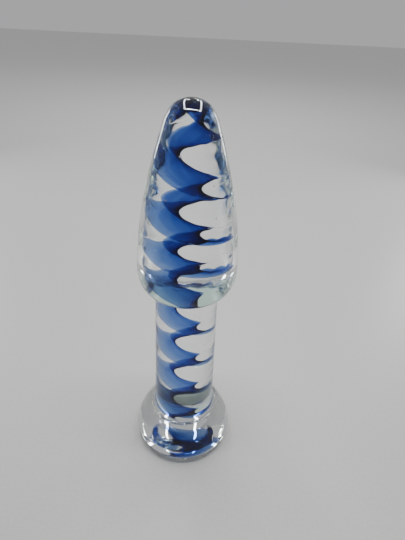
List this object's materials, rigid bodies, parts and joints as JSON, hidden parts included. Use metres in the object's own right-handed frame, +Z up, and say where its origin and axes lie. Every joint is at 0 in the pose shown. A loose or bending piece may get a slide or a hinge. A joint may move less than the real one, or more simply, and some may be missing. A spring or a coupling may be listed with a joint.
{
  "type": "solid glass plug with round foot",
  "caption": "Free-standing solid glass plug with a tapered rounded head, plain neck and round foot, and a twisted blue strip sealed inside. A body massager by its shape, not a pen.",
  "frame": {"origin": "centre of the flat underside of the foot", "axes": "+Z up the axis from the foot to the tip of the head; the outside is round about Z, so X and Y differ only in where the twisted strip starts"},
  "size_m": [0.04, 0.04, 0.1376],
  "materials": {
    "clear_glass": "fire polished",
    "cane_glass": "clear, sealed inside",
    "blue_glass": "clear cobalt blue, sealed inside"
  },
  "bodies": {
    "root": {"foot": "clear_glass", "neck_casing": "clear_glass", "head_gather": "clear_glass", "cane_half_inner": "cane_glass", "cane_half_outer": "cane_glass", "blue_strip": "blue_glass"}
  },
  "joints": []
}
